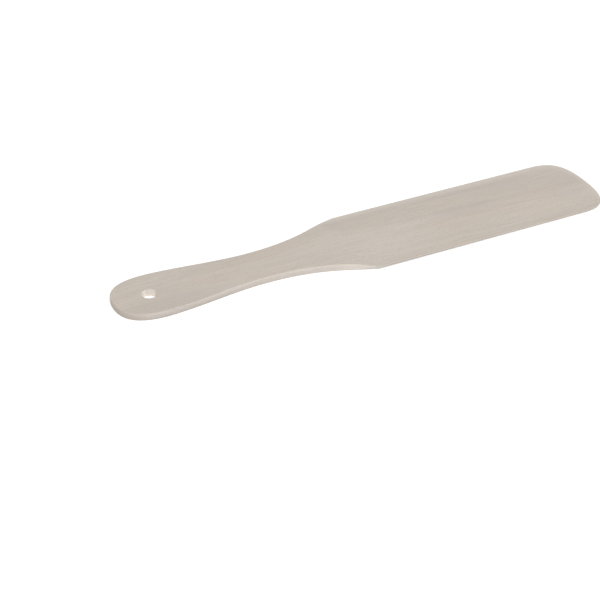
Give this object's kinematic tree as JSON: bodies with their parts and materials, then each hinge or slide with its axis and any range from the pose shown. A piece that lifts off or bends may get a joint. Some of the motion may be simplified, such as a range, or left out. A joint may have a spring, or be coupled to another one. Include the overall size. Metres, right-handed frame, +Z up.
{
  "type": "crepe spatula",
  "caption": "Flat wooden paddle with a waisted handle, a drilled hanging hole and a long thin-edged blade with a rounded tip, for turning and lifting crepes.",
  "frame": {"origin": "centre of the spatula's bounding box in plan, on the surface that its underside rests on", "axes": "+X along the spatula from the handle's end to the blade's tip, +Y across the blade, +Z up through its thickness"},
  "size_m": [0.3, 0.0576, 0.004],
  "materials": {
    "pale_wood": "fine-sanded bare beech, matte, with fine grain along the length"
  },
  "bodies": {
    "root": {"spatula_body": "pale_wood"}
  },
  "joints": []
}
